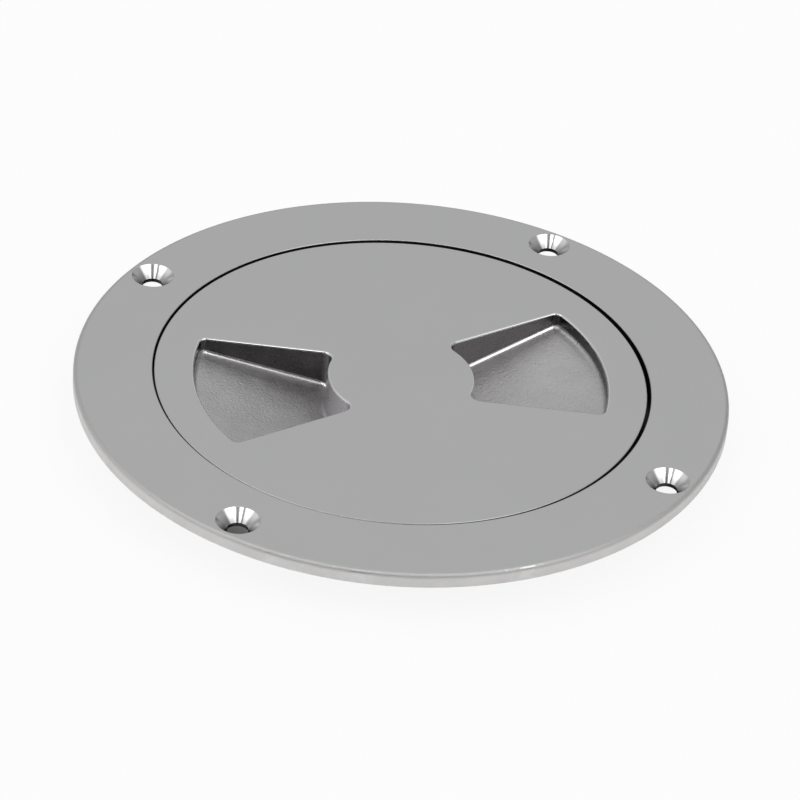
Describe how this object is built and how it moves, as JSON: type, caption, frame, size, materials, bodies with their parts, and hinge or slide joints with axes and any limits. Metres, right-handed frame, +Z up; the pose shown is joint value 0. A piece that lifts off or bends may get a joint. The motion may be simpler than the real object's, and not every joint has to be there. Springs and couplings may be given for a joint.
{
  "type": "deck inspection plate",
  "caption": "Round flush deck inspection plate: screwed-down flange ring with a threaded collar, and a cover with finger pockets that screws down onto an O-ring.",
  "frame": {"origin": "on the flange ring's axis, in the flange's underside, which is the deck's surface", "axes": "+Z up out of the deck, +X along the two finger pockets, +Y to the right-handed third"},
  "size_m": [0.14, 0.14, 0.0121],
  "materials": {
    "ring_steel": "satin investment-cast stainless steel, polished countersinks",
    "cover_steel": "satin top, as-cast finger pockets, turned thread",
    "seal_rubber": "smooth black nitrile rubber"
  },
  "bodies": {
    "ring_body": {"flange_ring": "ring_steel"},
    "seal_body": {"o_ring": "seal_rubber"},
    "cover_body": {"cover": "cover_steel"}
  },
  "joints": [
    {"name": "cover_lift", "type": "slide", "parent": "ring_body", "child": "seal_body", "axis": [0, 0, 1], "range_m": [0, 0.0051]},
    {"name": "cover_turn", "type": "hinge", "parent": "seal_body", "child": "cover_body", "pos_m": [-0.00035, -0.00043, 0], "axis": [0, 0, 1], "range_deg": [0, 900]}
  ],
  "couplings": [
    {"joint": "cover_lift", "follows": "cover_turn", "m_per_rad": 0.00031831}
  ]
}
